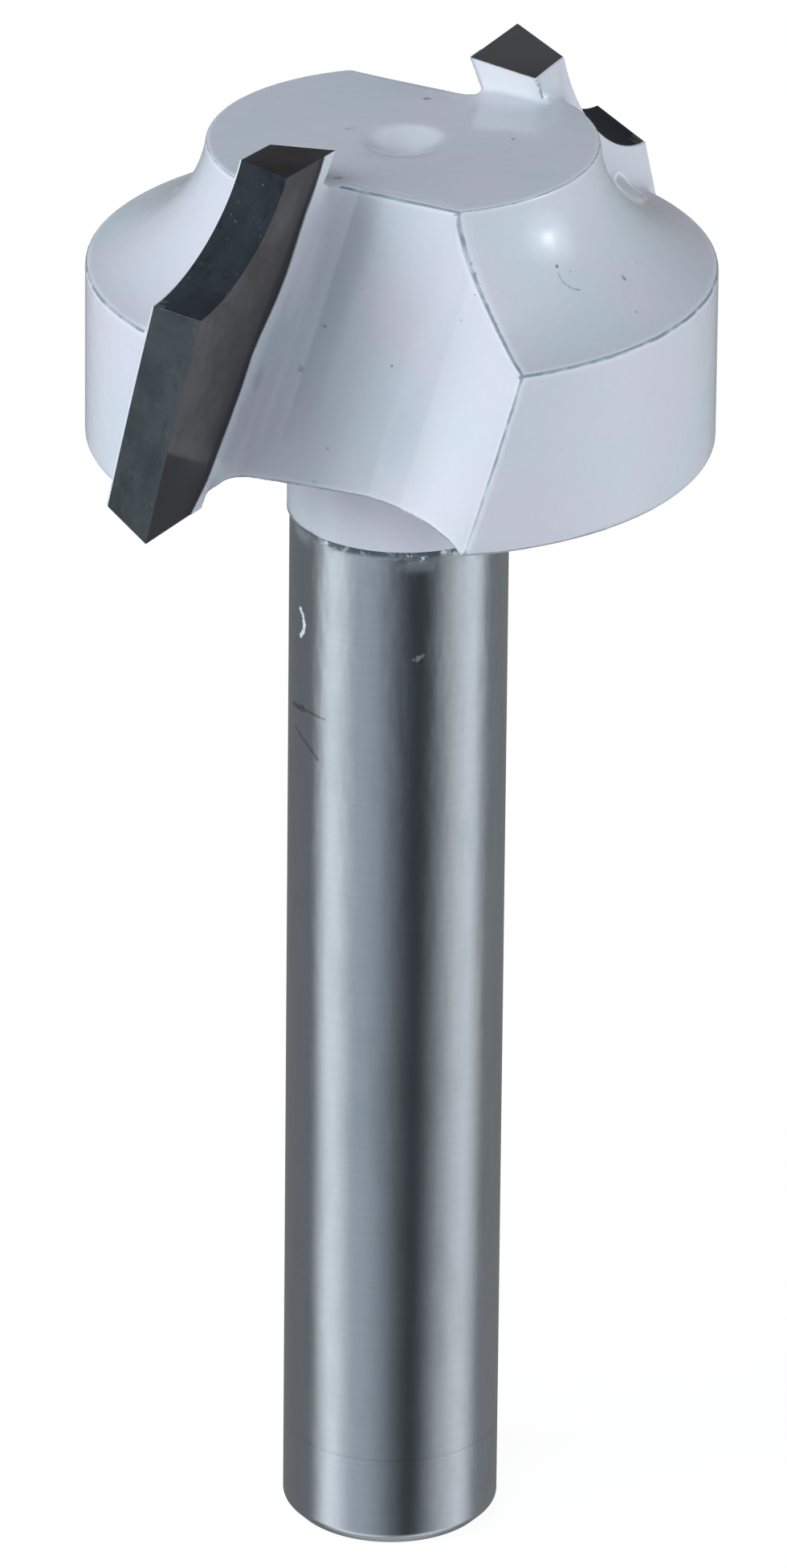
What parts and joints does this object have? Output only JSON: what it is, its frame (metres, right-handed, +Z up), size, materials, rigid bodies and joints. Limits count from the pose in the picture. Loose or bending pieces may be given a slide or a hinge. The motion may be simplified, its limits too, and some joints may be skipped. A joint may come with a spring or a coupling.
{
  "type": "router bit",
  "caption": "Carbide-tipped router bit with a plain round shank, a coated turned head with a coved nose, open gullets and sheared tips that cut a concave corner step.",
  "frame": {"origin": "centre of the shank's end face, on the axis", "axes": "+Z up the axis from the shank end to the nose; seen from the nose, the cutting edges lead counter-clockwise; the first tip points to azimuth 240.2 degrees from +X"},
  "size_m": [0.0342, 0.0336, 0.0847],
  "materials": {
    "ground_steel": "centreless ground steel with a soft sheen",
    "head_coating": "thin pale grey dip coating, satin to glossy",
    "carbide": "ground cemented carbide, dark satin"
  },
  "bodies": {
    "root": {"steel_body": "ground_steel", "carbide_tip_1": "carbide", "carbide_tip_2": "carbide"}
  },
  "joints": []
}
